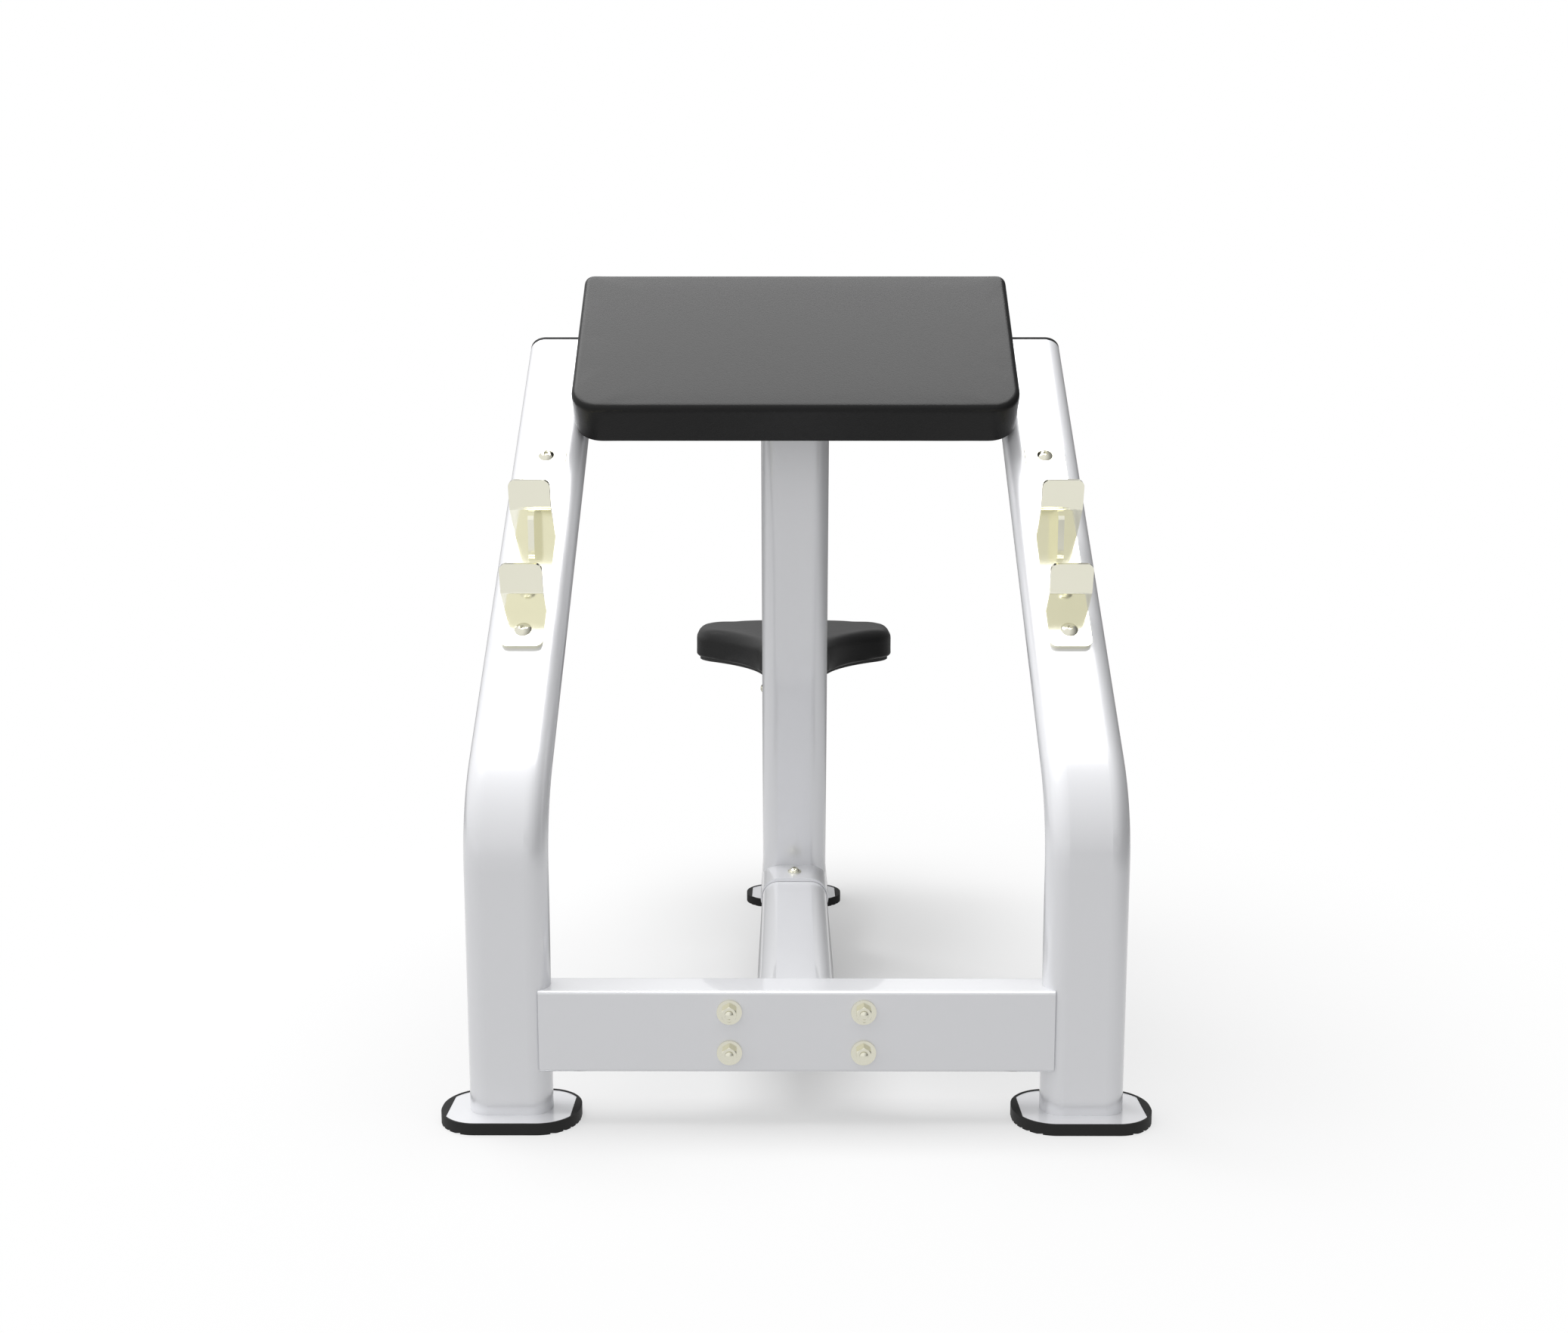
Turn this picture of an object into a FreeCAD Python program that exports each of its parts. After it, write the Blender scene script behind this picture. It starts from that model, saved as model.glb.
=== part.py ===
import FreeCAD, Part
import math
import os

# Preacher curl bench. Millimetres, +Z up. The user sits at +Y and faces -Y.
# While it is modelled, y is counted from the middle of the uprights' feet and z from the floor.
# Each finished piece then moves along Y, so that the origin lies under the middle of the bench.

# Flat-oval frame tube
tube_width = 100.0
tube_depth = 50.0
tube_wall = 3.0

# Uprights: vertical at the foot, then bent back; their two centre lines cross at bend_height
upright_spacing = 688.0
bend_height = 380.0
bend_radius = 160.0
lean_angle = 45.0
lean_length = 800.0
cap_rim = 6.5
cap_rim_edge = 1.5
cap_stem = 22.0
cap_clearance = 0.3

# Feet: a steel plate in a rubber boot
boot_length = 168.0
boot_depth = 103.0
boot_corner = 48.0
boot_height = 14.0
boot_sole = 7.0
boot_rim = 2.5
groove_spacing = 8.5
groove_width = 3.0
groove_depth = 1.6
foot_plate_length = 148.0
foot_plate_thickness = 6.0
foot_plate_clearance = 0.3

# Front crossbeam
beam_height = 100.0
beam_centre_height = 117.0
beam_corner = 4.0
beam_wall = 3.0
weld_lap = 12.0

# Spine flange and the bolts through the crossbeam
flange_width = 200.0
flange_height = 88.0
flange_thickness = 8.0
flange_corner = 10.0
spine_pattern_width = 159.0
spine_pattern_height = 50.0
spine_bolt_radius = 5.0
spine_bolt_tail = 2.0
spine_head_flats = 17.0
spine_head_height = 6.4
spine_nut_height = 8.4
spine_washer_radius = 15.0
spine_washer_thickness = 2.5
bolt_clearance = 0.5
thread_clearance = 0.1
bolt_end_dome = 2.2
hex_chamfer_share = 0.15

# Rear base tube, whose mouth sleeves the spine
sleeve_wall = 5.2
sleeve_side_wall = 2.0
sleeve_clearance = 0.3
sleeve_end_wall = 4.0
sleeve_lead = 76.0
spine_insert = 150.0
sleeve_screw_inset = 37.0
sleeve_screw_radius = 5.0
sleeve_screw_length = 16.0
sleeve_screw_head_radius = 9.0
sleeve_screw_head_height = 5.5
sleeve_washer_radius = 10.5
sleeve_washer_thickness = 2.0

# Pad post; post_setback is where its front face meets the base tube
post_setback = 609.0
post_lean = 10.0

# Arm pad; it laps each upright by pad_lap
pad_lap = 16.5
pad_length = 286.0
pad_thickness = 65.0
pad_shift = 15.0
pad_front_corner = 40.0
pad_back_corner = 14.0
pad_edge = 9.0
pad_crown = 2.5
pad_crown_inset = 60.0
pad_tuck = 4.0
pad_least_corner = 2.0
pad_board_thickness = 15.0
pad_board_margin = 14.0
pad_board_clearance = 0.3
pad_pattern_width = 360.0
pad_pattern_length = 30.0
pad_bolt_radius = 4.0
pad_bolt_bite = 11.0
pad_bolt_head_radius = 8.0
pad_bolt_head_height = 4.4

# Bar catches; places along the lean are counted from bend_height
catch_width = 53.5
catch_thickness = 6.0
catch_corner = 10.0
catch_low_bolt = 247.5
catch_bolt_spacing = 307.0
catch_margin = 26.0
catch_bolt_radius = 5.0
catch_bolt_bite = 13.0
catch_bolt_head_radius = 10.8
catch_bolt_head_height = 5.0
hook_thickness = 6.0
hook_lip = 38.0
hook_lip_turn = 30.0
hook_lip_corner = 9.0
hook_bend_radius = 4.0
lower_hook_rise = 30.6
lower_hook_reach = 35.0
upper_hook_rise = 157.1
upper_hook_reach = 53.0
gusset_thickness = 8.0
gusset_reach = 44.0
gusset_drop = 42.0
gusset_nose = 6.0
gusset_round = 9.0

# Socket of the button-head screws, as shares of the head's radius and height
socket_flats_share = 0.6
socket_depth_share = 0.6

# Seat column
column_setback = 284.0
column_height = 397.0
bush_length = 60.0
bush_flange = 4.0
bush_wall = 2.6
bush_clearance = 0.1
bush_screw_drop = 25.0
bush_screw_radius = 4.0
bush_screw_length = 5.0
bush_screw_head_radius = 9.0
bush_screw_head_height = 9.0

# Seat tube; its rear wall has one hole for each height of the seat
seat_tube_wall = 3.0
seat_tube_insert = 270.0
slide_clearance = 0.3
plug_stem = 25.0
plug_flange = 4.0
hole_spacing = 25.0
hole_count = 7
hole_clearance = 0.5

# Seat
seat_gap = 17.0
bracket_width = 100.0
bracket_length = 200.0
bracket_thickness = 6.0
bracket_corner = 12.0
bracket_forward = 18.0
seat_pattern_width = 70.0
seat_pattern_length = 170.0
seat_screw_radius = 4.0
seat_screw_bite = 9.0
seat_screw_head_radius = 8.0
seat_screw_head_height = 4.4
seat_board_thickness = 12.0
seat_board_margin = 7.0
seat_board_proud = 6.0
seat_board_clearance = 0.3
seat_width = 346.0
seat_thickness = 50.0
seat_nose_gap = 65.0
seat_nose_radius = 60.0
seat_waist_radius = 286.0
seat_front_corner = 86.0
seat_front_corner_setback = 20.5
seat_back_corner = 50.0
seat_back_radius = 465.0
seat_back_reach = 127.0
seat_edge = 18.0
seat_crown = 2.5
seat_crown_inset = 34.0
seat_tuck = 4.0

# How far round its quarter each step of a cushion's rounded edge lies
round_shares = (0, 0.33, 0.67, 1)

# Seat lock behind the column
pin_drop = 80.0
pin_radius = 6.0
pin_fit = 0.05
pin_bite = 6.0
pin_collar_radius = 9.0
pin_collar = 4.0
housing_radius = 13.5
housing_length = 44.0
housing_floor = 6.0
housing_bore_radius = 9.5
housing_cap = 6.0
spring_clearance = 0.3
knob_gap = 2.0
knob_radius = 19.0
knob_length = 28.0
knob_neck_radius = 12.0
knob_neck = 9.0
knob_edge = 6.0
knob_grip = 14.0

# Cuts run past the faces that they open by this much
overrun = 2.0

# Places that follow from the sizes above
tube_half_width = tube_width / 2
tube_half_depth = tube_depth / 2
upright_x = upright_spacing / 2
upright_base = boot_sole + foot_plate_thickness
bend_tangent = bend_radius * math.tan(math.radians(lean_angle / 2))
beam_reach = upright_x - tube_half_width + weld_lap
flange_back = tube_half_depth + flange_thickness
sleeve_bore_width = tube_width + 2 * sleeve_clearance
sleeve_bore_height = tube_depth + 2 * sleeve_clearance
sleeve_width = sleeve_bore_width + 2 * sleeve_side_wall
sleeve_height = sleeve_bore_height + 2 * sleeve_wall
sleeve_top = beam_centre_height + sleeve_height / 2
sleeve_front = post_setback - sleeve_lead
sleeve_screw_y = sleeve_front + sleeve_screw_inset
post_slope = math.tan(math.radians(post_lean))
post_half_run = tube_half_depth / math.cos(math.radians(post_lean))
post_foot_y = post_setback + post_half_run
lean_slope = math.tan(math.radians(lean_angle))
cross_y = (post_foot_y - post_slope * (bend_height - sleeve_top)) / (1 + post_slope * lean_slope)
cross_along = cross_y / math.cos(math.radians(lean_angle))
pad_along = cross_along + pad_shift
pad_width = upright_spacing - tube_width + 2 * pad_lap
catch_face = tube_half_depth + catch_thickness
catch_bolt_places = (catch_low_bolt, catch_low_bolt + catch_bolt_spacing)
column_y = post_foot_y + column_setback
column_top = upright_base + column_height
column_back = column_y + tube_half_depth
slide_room = tube_wall + bush_clearance + bush_wall + slide_clearance
seat_tube_width = tube_width - 2 * slide_room
seat_tube_depth = tube_depth - 2 * slide_room
tube_bottom = column_top - seat_tube_insert
bracket_base = column_top + bush_flange + seat_gap
bracket_y = column_y - bracket_forward
seat_board_base = bracket_base + bracket_thickness
seat_base = seat_board_base + seat_board_proud
post_back_at_seat = post_foot_y - post_slope * (seat_base - sleeve_top) + post_half_run
seat_nose_y = post_back_at_seat + seat_nose_gap
seat_back_y = column_y + seat_back_reach
pin_height = column_top - pin_drop
pin_tip_y = column_y + seat_tube_depth / 2 - pin_bite
housing_end = column_back + housing_length
knob_start = housing_end + housing_cap + knob_gap
origin_y = (seat_back_y - boot_depth / 2) / 2

V = FreeCAD.Vector
Rotation = FreeCAD.Rotation
X_AXIS = V(1, 0, 0)
Y_AXIS = V(0, 1, 0)
Z_AXIS = V(0, 0, 1)
LEAN = Rotation(X_AXIS, lean_angle)
LEAN_OUT = LEAN.multVec(Z_AXIS)
ALONG_LEAN = Rotation(X_AXIS, lean_angle - 90)
ALONG_Y = Rotation(X_AXIS, -90)
ALONG_X = Rotation(V(1, 1, 1), 120)
SIDE_VIEW = Rotation(Y_AXIS, -90)
SIDES = (("left", -1), ("right", 1))
TOUCHING = FreeCAD.Base.Precision.confusion()


def moved(shape, position, rotation=Rotation()):
    """A copy of a shape, turned about the origin and then set at a position."""
    copy = shape.copy()
    copy.Placement = FreeCAD.Placement(position, rotation).multiply(copy.Placement)
    return copy


def on_lean(shape):
    """A shape drawn as (x, along the lean, out of the leaning face), set on the uprights' lean."""
    return moved(shape, V(0, 0, bend_height), LEAN)


def lean_point(x, along, out):
    """A point given as (x, along the lean, out of the leaning face)."""
    return LEAN.multVec(V(x, along, out)) + V(0, 0, bend_height)


def aimed(shape, position, direction):
    """A shape drawn along +Z, set at a position and turned to point along a direction."""
    return moved(shape, position, Rotation(Z_AXIS, direction))


def joined(arcs):
    """A closed outline of three-point arcs with straight runs between them; a sharp corner is one point."""
    edges = []
    for (start, middle, end), following in zip(arcs, arcs[1:] + arcs[:1]):
        if (end - start).Length > TOUCHING:
            edges.append(Part.Arc(start, middle, end).toShape())
        if (following[0] - end).Length > TOUCHING:
            edges.append(Part.LineSegment(end, following[0]).toShape())
    return Part.Wire(edges)


def rounded_wire(corners, radii, z=0):
    """A closed outline through (x, y) corners, each rounded with its own radius or left sharp."""
    points = [V(x, y, z) for x, y in corners]
    arcs = []
    for before, here, after, radius in zip(points[-1:] + points[:-1], points, points[1:] + points[:1], radii):
        back = (before - here).normalize()
        on = (after - here).normalize()
        half = back.getAngle(on) / 2
        run = radius / math.tan(half)
        middle = here + (back + on).normalize() * (radius / math.sin(half) - radius)
        arcs.append((here + back * run, middle, here + on * run))
    return joined(arcs)


def rounded_rectangle(width, height, radius):
    """A rectangle about the origin with rounded corners."""
    x, y = width / 2, height / 2
    return rounded_wire([(-x, -y), (x, -y), (x, y), (-x, y)], [radius] * 4)


def flat_oval(width, depth):
    """The outline of a flat-oval tube: two flats joined by half rounds."""
    return rounded_rectangle(width, depth, depth / 2)


def prism(wire, height):
    """A solid that stands on an outline."""
    return Part.Face(wire).extrude(V(0, 0, height))


def tube(width, depth, wall, length):
    """A straight flat-oval tube along +Z."""
    bore = prism(flat_oval(width - 2 * wall, depth - 2 * wall), length)
    return prism(flat_oval(width, depth), length).cut(bore)


def ring(radius, bore_radius, thickness):
    """A flat ring that stands on the XY plane."""
    return Part.makeCylinder(radius, thickness).cut(Part.makeCylinder(bore_radius, thickness))


def dome(radius, height):
    """The cap of a ball, cut off flat at the XY plane."""
    ball = (radius**2 + height**2) / (2 * height)
    half = math.asin(radius / ball) / 2
    rim = V(radius, 0, 0)
    middle = V(ball * math.sin(half), 0, height - ball + ball * math.cos(half))
    top = V(0, 0, height)
    profile = [
        Part.LineSegment(V(), rim).toShape(),
        Part.Arc(rim, middle, top).toShape(),
        Part.LineSegment(top, V()).toShape(),
    ]
    return Part.Face(Part.Wire(profile)).revolve(V(), Z_AXIS, 360)


def hexagon(flats, height):
    """A hexagonal prism with one of its points along +Y."""
    reach = flats / 2 / math.cos(math.radians(30))
    turns = [math.radians(60 * k) for k in range(7)]
    points = [V(reach * math.sin(turn), reach * math.cos(turn), 0) for turn in turns]
    return prism(Part.makePolygon(points), height)


def hex_head(flats, height):
    """A hexagon whose upper corners are turned off."""
    blank = Part.makeCylinder(flats / 2 / math.cos(math.radians(30)), height)
    upper = [edge for edge in blank.Edges if edge.BoundBox.ZMin > height / 2]
    return hexagon(flats, height).common(blank.makeChamfer(height * hex_chamfer_share, upper))


def button_screw(shank_radius, shank_length, head_radius, head_height):
    """A screw whose domed head stands on the XY plane, with its shank below."""
    depth = head_height * socket_depth_share
    socket = moved(hexagon(head_radius * socket_flats_share, head_height), V(0, 0, head_height - depth))
    shank = Part.makeCylinder(shank_radius, shank_length, V(0, 0, -shank_length))
    return dome(head_radius, head_height).cut(socket).fuse(shank)


def bore(radius, start, direction, length):
    """A round cutter from a point along a direction."""
    return Part.makeCylinder(radius, length, start, direction)


def layered(outline, levels):
    """A cushion through outlines drawn at (height, inset) levels."""
    return Part.makeLoft([outline(inset, height) for height, inset in levels], True, True)


def cushion_levels(thickness, tuck, edge, crown, crown_inset):
    """Heights and insets of a cushion: drawn in below, rounded above and slightly crowned."""
    shoulder = thickness - crown - edge
    quarter = [math.radians(90 * share) for share in round_shares]
    low = [(tuck * (1 - math.cos(turn)), tuck * (1 - math.sin(turn))) for turn in quarter]
    high = [(shoulder + edge * math.sin(turn), edge * (1 - math.cos(turn))) for turn in quarter]
    return low + high + [(thickness, crown_inset)]


def upright_bar(width, depth):
    """A bar bent like an upright, of a flat-oval section, at x = 0."""
    section = flat_oval(width, depth)
    bend_start = bend_height - bend_tangent
    low = moved(prism(section, bend_start - upright_base), V(0, 0, upright_base))
    bend = moved(Part.Face(section), V(0, 0, bend_start))
    bend = bend.revolve(V(0, bend_radius, bend_start), -X_AXIS, lean_angle)
    high = moved(prism(section, lean_length - bend_tangent), lean_point(0, bend_tangent, 0), ALONG_LEAN)
    return low.fuse([bend, high]).removeSplitter()


def upright_blocks():
    """Both uprights as filled bars, for coping what is welded between them."""
    bar = upright_bar(tube_width, tube_depth)
    return [moved(bar, V(side * upright_x, 0, 0)) for name, side in SIDES]


def upright():
    """A bent tube with holes in its leaning front face for the bar catch's bolts."""
    hollow = upright_bar(tube_width - 2 * tube_wall, tube_depth - 2 * tube_wall)
    start = tube_half_depth - tube_wall - overrun
    radius = catch_bolt_radius + bolt_clearance
    holes = [
        bore(radius, lean_point(0, along, start), LEAN_OUT, tube_wall + 2 * overrun)
        for along in catch_bolt_places
    ]
    return upright_bar(tube_width, tube_depth).cut([hollow] + holes)


def end_cap():
    """A plug with a thin rim that covers the upright's end."""
    rim = prism(flat_oval(tube_width, tube_depth), cap_rim)
    upper = [edge for edge in rim.Edges if edge.BoundBox.ZMin > cap_rim / 2]
    rim = rim.makeFillet(cap_rim_edge, upper)
    gap = 2 * (tube_wall + cap_clearance)
    stem = moved(prism(flat_oval(tube_width - gap, tube_depth - gap), cap_stem), V(0, 0, -cap_stem))
    return moved(rim.fuse(stem), lean_point(0, lean_length, 0), ALONG_LEAN)


def foot_plate(grown=0, thickness=foot_plate_thickness):
    """A plate with rounded long sides and straight ends, or a cutter grown from it."""
    rim = boot_rim - grown
    slab = prism(rounded_rectangle(boot_length - 2 * rim, boot_depth - 2 * rim, boot_corner - rim), thickness)
    length = foot_plate_length + 2 * grown
    box = Part.makeBox(length, boot_depth, thickness, V(-length / 2, -boot_depth / 2, 0))
    return moved(slab.common(box), V(0, 0, boot_sole))


def foot_boot():
    """A rubber boot that holds the plate, with grooves along X in its sole."""
    block = prism(rounded_rectangle(boot_length, boot_depth, boot_corner), boot_height)
    count = 2 * int(boot_depth / (2 * groove_spacing))
    grooves = [
        Part.makeBox(
            boot_length,
            groove_width,
            groove_depth,
            V(-boot_length / 2, (k - (count - 1) / 2) * groove_spacing - groove_width / 2, 0),
        )
        for k in range(count)
    ]
    return block.cut([foot_plate(foot_plate_clearance, boot_height)] + grooves)


def spine_bolt_points(y):
    """The four bolt places on the crossbeam at a depth y."""
    return [
        V(x * spine_pattern_width / 2, y, beam_centre_height + z * spine_pattern_height / 2)
        for x in (-1, 1)
        for z in (-1, 1)
    ]


def front_crossbeam():
    """A rectangular tube between the uprights, coped round them and drilled for the spine bolts."""
    inner_corner = max(beam_corner - beam_wall, 0)
    outer = prism(rounded_rectangle(tube_depth, beam_height, beam_corner), 2 * beam_reach)
    inner_section = rounded_rectangle(tube_depth - 2 * beam_wall, beam_height - 2 * beam_wall, inner_corner)
    beam = outer.cut(prism(inner_section, 2 * beam_reach))
    beam = moved(beam, V(-beam_reach, 0, beam_centre_height), ALONG_X)
    radius = spine_bolt_radius + bolt_clearance
    start = -tube_half_depth - overrun
    holes = [bore(radius, point, Y_AXIS, tube_depth + 2 * overrun) for point in spine_bolt_points(start)]
    return beam.cut(upright_blocks() + holes)


def spine_flange():
    """The plate behind the crossbeam that the spine is welded to."""
    plate = prism(rounded_rectangle(flange_width, flange_height, flange_corner), flange_thickness)
    plate = moved(plate, V(0, tube_half_depth, beam_centre_height), ALONG_Y)
    radius = spine_bolt_radius + bolt_clearance
    start = tube_half_depth - overrun
    length = flange_thickness + 2 * overrun
    return plate.cut([bore(radius, point, Y_AXIS, length) for point in spine_bolt_points(start)])


def spine_bolts():
    """Hexagon bolts from behind the flange, with domed ends in front of the nuts."""
    grip = flange_thickness + tube_depth + spine_washer_thickness
    length = grip + spine_nut_height + spine_bolt_tail
    head = aimed(hex_head(spine_head_flats, spine_head_height), V(), -Z_AXIS)
    end = moved(dome(spine_bolt_radius, bolt_end_dome), V(0, 0, length))
    bolt = head.fuse([Part.makeCylinder(spine_bolt_radius, length), end])
    return Part.makeCompound([aimed(bolt, point, -Y_AXIS) for point in spine_bolt_points(flange_back)])


def spine_washers():
    """Wide washers on the crossbeam's front."""
    washer = ring(spine_washer_radius, spine_bolt_radius + bolt_clearance, spine_washer_thickness)
    places = spine_bolt_points(-tube_half_depth)
    return Part.makeCompound([aimed(washer, point, -Y_AXIS) for point in places])


def spine_nuts():
    """Hexagon nuts on the washers, each with a point upwards."""
    hole = Part.makeCylinder(spine_bolt_radius + thread_clearance, spine_nut_height)
    nut = hex_head(spine_head_flats, spine_nut_height).cut(hole)
    places = spine_bolt_points(-tube_half_depth - spine_washer_thickness)
    return Part.makeCompound([aimed(nut, point, -Y_AXIS) for point in places])


def sleeve_screw_hole():
    """A cutter for the screw through the sleeve's and the spine's upper walls."""
    depth = sleeve_wall + sleeve_clearance + tube_wall + overrun
    start = V(0, sleeve_screw_y, sleeve_top + overrun)
    return bore(sleeve_screw_radius + bolt_clearance, start, -Z_AXIS, depth + overrun)


def spine_tube():
    """The low tube from the flange back into the rear base tube's mouth."""
    length = sleeve_front + spine_insert - flange_back
    body = tube(tube_width, tube_depth, tube_wall, length)
    body = moved(body, V(0, flange_back, beam_centre_height), ALONG_Y)
    return body.cut(sleeve_screw_hole())


def column_bar(width, depth):
    """A filled bar that stands where the seat column does."""
    return moved(prism(flat_oval(width, depth), column_height), V(0, column_y, upright_base))


def sleeve_bar(width, height, end_wall=0):
    """A filled bar of the rear base tube's length less an end wall, coped round the seat column."""
    length = column_y - tube_half_depth + weld_lap - end_wall - sleeve_front
    bar = moved(prism(flat_oval(width, height), length), V(0, sleeve_front, beam_centre_height), ALONG_Y)
    return bar.cut(column_bar(tube_width, tube_depth))


def rear_base_tube():
    """The tube that sleeves the spine and carries the pad post; its rear end is closed at the seat column."""
    hollow = sleeve_bar(sleeve_bore_width, sleeve_bore_height, weld_lap + sleeve_end_wall)
    return sleeve_bar(sleeve_width, sleeve_height).cut([hollow, sleeve_screw_hole()])


def sleeve_washer():
    """The washer under the sleeve screw."""
    washer = ring(sleeve_washer_radius, sleeve_screw_radius + bolt_clearance, sleeve_washer_thickness)
    return moved(washer, V(0, sleeve_screw_y, sleeve_top))


def sleeve_screw():
    """The screw that pins the spine in the base tube's mouth."""
    screw = button_screw(
        sleeve_screw_radius, sleeve_screw_length, sleeve_screw_head_radius, sleeve_screw_head_height
    )
    return moved(screw, V(0, sleeve_screw_y, sleeve_top + sleeve_washer_thickness))


def cross_bar(wall=0):
    """The top cross tube's bar, or its bore, along X across the lean."""
    section = flat_oval(tube_width - 2 * wall, tube_depth - 2 * wall)
    bar = moved(prism(section, 2 * beam_reach), V(-beam_reach, cross_along, 0), ALONG_X)
    return on_lean(bar)


def pad_bolt_points(out):
    """The pad's bolt places at a distance out of the lean."""
    return [
        lean_point(x * pad_pattern_width / 2, cross_along + y * pad_pattern_length / 2, out)
        for x in (-1, 1)
        for y in (-1, 1)
    ]


def pad_bolt_holes():
    """Cutters for the pad's bolts, from behind the cross tube into the board."""
    length = tube_depth + pad_bolt_bite + 2 * overrun
    radius = pad_bolt_radius + bolt_clearance
    return [bore(radius, point, LEAN_OUT, length) for point in pad_bolt_points(-tube_half_depth - overrun)]


def top_cross_tube():
    """The tube between the uprights that the post and the pad are fixed to."""
    return cross_bar().cut([cross_bar(tube_wall)] + upright_blocks() + pad_bolt_holes())


def pad_post():
    """The tube from the base tube up to the cross tube, leaning to the front."""
    sink = sleeve_height / 2
    rise = bend_height + cross_y * lean_slope - sleeve_top
    body = tube(tube_width, tube_depth, tube_wall, sink + rise / math.cos(math.radians(post_lean)))
    body = moved(body, V(0, 0, -sink))
    body = moved(body, V(0, post_foot_y, sleeve_top), Rotation(X_AXIS, post_lean))
    return body.cut([sleeve_bar(sleeve_width, sleeve_height), cross_bar()])


def pad_outline(inset, height):
    """The pad's plan: large corners at its lower edge and small ones at its upper edge."""
    x = pad_width / 2 - inset
    y = pad_length / 2 - inset
    front = max(pad_front_corner - inset, pad_least_corner)
    back = max(pad_back_corner - inset, pad_least_corner)
    return rounded_wire([(-x, -y), (x, -y), (x, y), (-x, y)], [front, front, back, back], height)


def on_pad(shape):
    """A shape drawn on the pad's own middle, set on the uprights' leaning front."""
    return on_lean(moved(shape, V(0, pad_along, tube_half_depth)))


def pad_board():
    """The board under the cushion, drilled for the pad's bolts."""
    return on_pad(prism(pad_outline(pad_board_margin, 0), pad_board_thickness)).cut(pad_bolt_holes())


def pad_cushion():
    """The upholstered pad, with a pocket for its board."""
    levels = cushion_levels(pad_thickness, pad_tuck, pad_edge, pad_crown, pad_crown_inset)
    pocket = prism(pad_outline(pad_board_margin - pad_board_clearance, 0), pad_board_thickness)
    return on_pad(layered(pad_outline, levels).cut(pocket))


def pad_bolts():
    """Bolts through the cross tube into the pad's board."""
    screw = button_screw(
        pad_bolt_radius, tube_depth + pad_bolt_bite, pad_bolt_head_radius, pad_bolt_head_height
    )
    places = pad_bolt_points(-tube_half_depth)
    return Part.makeCompound([aimed(screw, point, -LEAN_OUT) for point in places])


def catch_plate():
    """The long plate bolted on the upright's leaning front face."""
    length = catch_bolt_spacing + 2 * catch_margin
    plate = prism(rounded_rectangle(catch_width, length, catch_corner), catch_thickness)
    middle = catch_low_bolt + catch_bolt_spacing / 2
    plate = on_lean(moved(plate, V(0, middle, tube_half_depth)))
    radius = catch_bolt_radius + bolt_clearance
    start = tube_half_depth - overrun
    length = catch_thickness + 2 * overrun
    return plate.cut([bore(radius, lean_point(0, y, start), LEAN_OUT, length) for y in catch_bolt_places])


def on_catch(shape, rise, width):
    """A side-view shape of (out of the plate, up the plate), set across the catch plate."""
    turned = moved(shape, V(width / 2, 0, 0), SIDE_VIEW)
    return on_lean(moved(turned, V(0, catch_low_bolt + rise, catch_face)))


def hook(rise, reach):
    """A strip that stands square on the plate and bends up into a lip with round corners."""
    turn = math.radians(hook_lip_turn)
    out, up = math.cos(turn), math.sin(turn)
    tip_x = reach + hook_lip * out
    tip_y = hook_lip * up
    corners = [
        (0, 0),
        (reach, 0),
        (tip_x, tip_y),
        (tip_x - hook_thickness * up, tip_y + hook_thickness * out),
        (reach - hook_thickness * math.tan(turn / 2), hook_thickness),
        (0, hook_thickness),
    ]
    radii = [0, hook_bend_radius + hook_thickness, 0, 0, hook_bend_radius, 0]
    strip = prism(rounded_wire(corners, radii), catch_width)
    end_face = max(strip.Faces, key=lambda face: face.CenterOfMass.x)
    corner_edges = [edge for edge in end_face.Edges if edge.Length < (hook_thickness + catch_width) / 2]
    return on_catch(strip.makeFillet(hook_lip_corner, corner_edges), rise, catch_width)


def hook_gusset():
    """The rib under the upper hook."""
    corners = [
        (0, 0),
        (0, -gusset_drop),
        (gusset_nose, -gusset_drop),
        (gusset_reach, -gusset_nose),
        (gusset_reach, 0),
    ]
    rib = prism(rounded_wire(corners, [0, 0, gusset_round, gusset_round, 0]), gusset_thickness)
    return on_catch(rib, upper_hook_rise, gusset_thickness)


def catch_bolts():
    """The two bolts of one bar catch."""
    screw = button_screw(
        catch_bolt_radius,
        catch_thickness + tube_wall + catch_bolt_bite,
        catch_bolt_head_radius,
        catch_bolt_head_height,
    )
    places = [lean_point(0, along, catch_face) for along in catch_bolt_places]
    return Part.makeCompound([aimed(screw, point, LEAN_OUT) for point in places])


def bush_screw_hole():
    """A cutter for the screw through the column's left wall and the bush."""
    start = V(-tube_half_width - overrun, column_y, column_top - bush_screw_drop)
    return bore(bush_screw_radius + thread_clearance, start, X_AXIS, tube_half_width)


def seat_column():
    """The tube on the rear foot that the seat tube slides in, bored for the lock pin."""
    hollow = column_bar(tube_width - 2 * tube_wall, tube_depth - 2 * tube_wall)
    start = V(0, column_back - tube_wall - overrun, pin_height)
    pin_hole = bore(pin_radius + pin_fit, start, Y_AXIS, tube_wall + 2 * overrun)
    return column_bar(tube_width, tube_depth).cut([hollow, pin_hole, bush_screw_hole()])


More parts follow.
